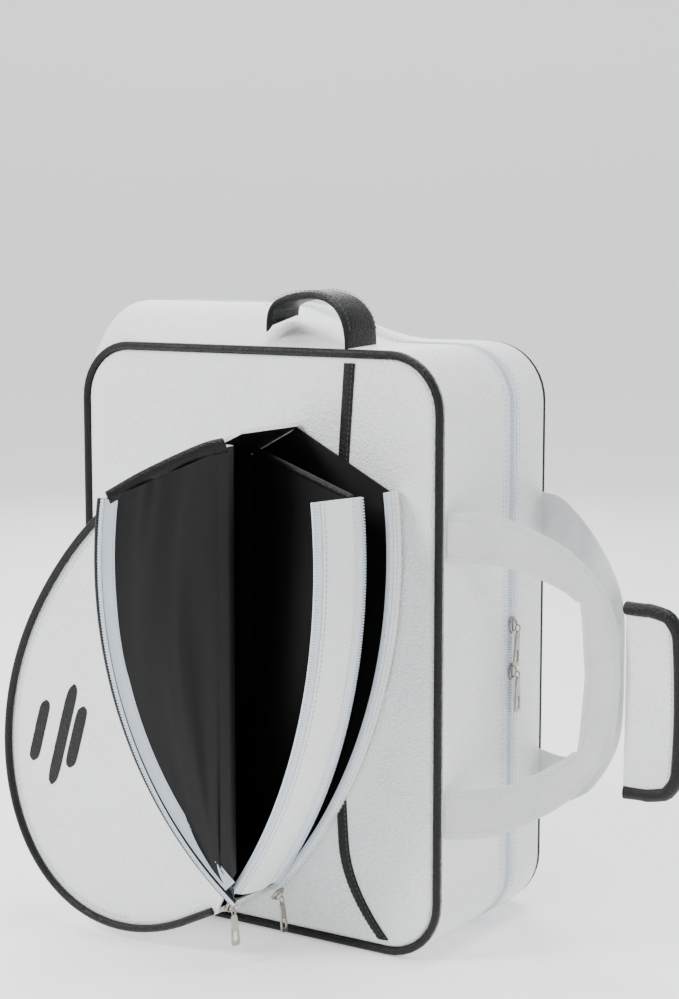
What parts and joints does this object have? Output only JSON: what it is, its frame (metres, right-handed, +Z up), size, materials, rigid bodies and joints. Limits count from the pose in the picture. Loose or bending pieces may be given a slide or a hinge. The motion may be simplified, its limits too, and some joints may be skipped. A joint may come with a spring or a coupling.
{
  "type": "racket backpack",
  "caption": "Rectangular clamshell backpack with a racket-head pocket on its front, folding flap, side carry loops, top handle and shoulder straps.",
  "frame": {"origin": "on the flat underside of the bag, midway between its sides and midway through its depth", "axes": "+Z up, -Y towards the racket pocket at the front, +X towards the side with the two carry loops"},
  "size_m": [0.4972, 0.3866, 0.491],
  "materials": {
    "white_leather": "fine pebbled grain, soft satin",
    "black_leather": "grained, satin",
    "lining": "smooth woven nylon",
    "zip_tape": "pale woven tape with coil teeth",
    "nickel": "polished nickel",
    "webbing": "white ribbed webbing",
    "padding": "padded leather strap",
    "mesh": "black air mesh",
    "board": "matte"
  },
  "bodies": {
    "front_half": {"front_panel": "white_leather", "front_piping": "black_leather", "front_gusset": "white_leather", "main_zip_tape_front": "zip_tape", "base_board": "board", "front_band": "black_leather", "pocket_backing": "lining", "pocket_wall": "white_leather", "front_cover": "white_leather", "cover_piping": "black_leather", "rear_strip": "white_leather", "rear_zip_tape_bag": "zip_tape", "divider_panel": "lining", "top_handle": "black_leather"},
    "back_half": {"main_zip_tape_back": "zip_tape", "back_gusset": "white_leather", "back_piping": "black_leather", "back_panel": "white_leather", "laptop_sleeve": "lining", "back_pad": "mesh", "strap_yoke": "black_leather"},
    "divider": {"divider_wing": "lining", "divider_strip": "white_leather", "divider_tape_rear": "zip_tape", "divider_tape_front": "zip_tape"},
    "flap": {"flap_panel": "white_leather", "flap_piping": "black_leather", "flap_zip_tape": "zip_tape", "flap_binding": "black_leather"},
    "main_slider_upper": {"main_slider_upper": "nickel"},
    "main_pull_upper": {"main_pull_upper": "nickel"},
    "main_slider_lower": {"main_slider_lower": "nickel"},
    "main_pull_lower": {"main_pull_lower": "nickel"},
    "racket_slider_rear": {"racket_slider_rear": "nickel"},
    "racket_pull_rear": {"racket_pull_rear": "nickel"},
    "racket_slider_front": {"racket_slider_front": "nickel"},
    "racket_pull_front": {"racket_pull_front": "nickel"},
    "side_loop_front": {"side_loop_front": "webbing"},
    "side_loop_back": {"side_loop_back": "webbing", "grip_wrap": "white_leather"},
    "strap_left": {"shoulder_strap_left": "padding", "strap_webbing_left": "webbing"},
    "strap_right": {"shoulder_strap_right": "padding", "strap_webbing_right": "webbing"},
    "adjuster_left": {"strap_adjuster_left": "nickel"},
    "adjuster_right": {"strap_adjuster_right": "nickel"}
  },
  "joints": [
    {"name": "main_compartment_hinge", "type": "hinge", "parent": "front_half", "child": "back_half", "pos_m": [-0.165, 0.026, 0.225], "axis": [0, 0, 1], "range_deg": [0, 95]},
    {"name": "flap_hinge", "type": "hinge", "parent": "front_half", "child": "flap", "pos_m": [0.037, -0.161, 0.2], "axis": [0, 0, 1], "range_deg": [0, 130]},
    {"name": "divider_hinge", "type": "hinge", "parent": "front_half", "child": "divider", "pos_m": [0.02, -0.1088, 0.2], "axis": [0, 0, 1], "range_deg": [0, 14.01]},
    {"name": "racket_slider_rear_track", "type": "hinge", "parent": "front_half", "child": "racket_slider_rear", "pos_m": [-0.25348, -0.1004, 0.30257], "axis": [0, -1, 0], "range_deg": [0, 48]},
    {"name": "racket_pull_rear_hinge", "type": "hinge", "parent": "racket_slider_rear", "child": "racket_pull_rear", "pos_m": [0.03874, -0.1004, 0.03473], "axis": [0, -1, 0], "range_deg": [0, 70]},
    {"name": "racket_slider_front_track", "type": "hinge", "parent": "divider", "child": "racket_slider_front", "pos_m": [-0.25501, -0.08135, 0.30257], "axis": [-0.2419, -0.9703, 0], "range_deg": [0, 47]},
    {"name": "racket_pull_front_hinge", "type": "hinge", "parent": "racket_slider_front", "child": "racket_pull_front", "pos_m": [0.03213, -0.15295, 0.03884], "axis": [-0.2419, -0.9703, 0], "range_deg": [0, 70]},
    {"name": "main_slider_upper_slide", "type": "slide", "parent": "front_half", "child": "main_slider_upper", "axis": [0, 0, 1], "range_m": [0, 0.14]},
    {"name": "main_pull_upper_hinge", "type": "hinge", "parent": "main_slider_upper", "child": "main_pull_upper", "pos_m": [0.1708, 0.026, 0.238], "axis": [0, -1, 0], "range_deg": [0, 120]},
    {"name": "main_slider_lower_slide", "type": "slide", "parent": "front_half", "child": "main_slider_lower", "axis": [0, 0, 1], "range_m": [-0.14, 0]},
    {"name": "main_pull_lower_hinge", "type": "hinge", "parent": "main_slider_lower", "child": "main_pull_lower", "pos_m": [0.1708, 0.026, 0.202], "axis": [0, -1, 0], "range_deg": [0, 120]},
    {"name": "side_loop_front_swing", "type": "hinge", "parent": "front_half", "child": "side_loop_front", "pos_m": [0.1666, -0.074, 0.215], "axis": [0, 0, 1], "range_deg": [-75, 0]},
    {"name": "side_loop_back_swing", "type": "hinge", "parent": "back_half", "child": "side_loop_back", "pos_m": [0.1666, 0.074, 0.215], "axis": [0, 0, 1], "range_deg": [0, 75]},
    {"name": "shoulder_strap_left_swing", "type": "hinge", "parent": "back_half", "child": "strap_left", "pos_m": [-0.081, 0.0995, 0.229], "axis": [0.2027, 0.0319, 0.9787], "range_deg": [-8, 8]},
    {"name": "strap_adjuster_left_slide", "type": "slide", "parent": "strap_left", "child": "adjuster_left", "axis": [0, -0.1395, -0.9902], "range_m": [-0.008, 0.03]},
    {"name": "shoulder_strap_right_swing", "type": "hinge", "parent": "back_half", "child": "strap_right", "pos_m": [0.081, 0.0995, 0.229], "axis": [-0.2027, 0.0319, 0.9787], "range_deg": [-8, 8]},
    {"name": "strap_adjuster_right_slide", "type": "slide", "parent": "strap_right", "child": "adjuster_right", "axis": [0, -0.1395, -0.9902], "range_m": [-0.008, 0.03]}
  ],
  "couplings": [
    {"joint": "divider_hinge", "follows": "flap_hinge", "ratio": 0.10769}
  ]
}
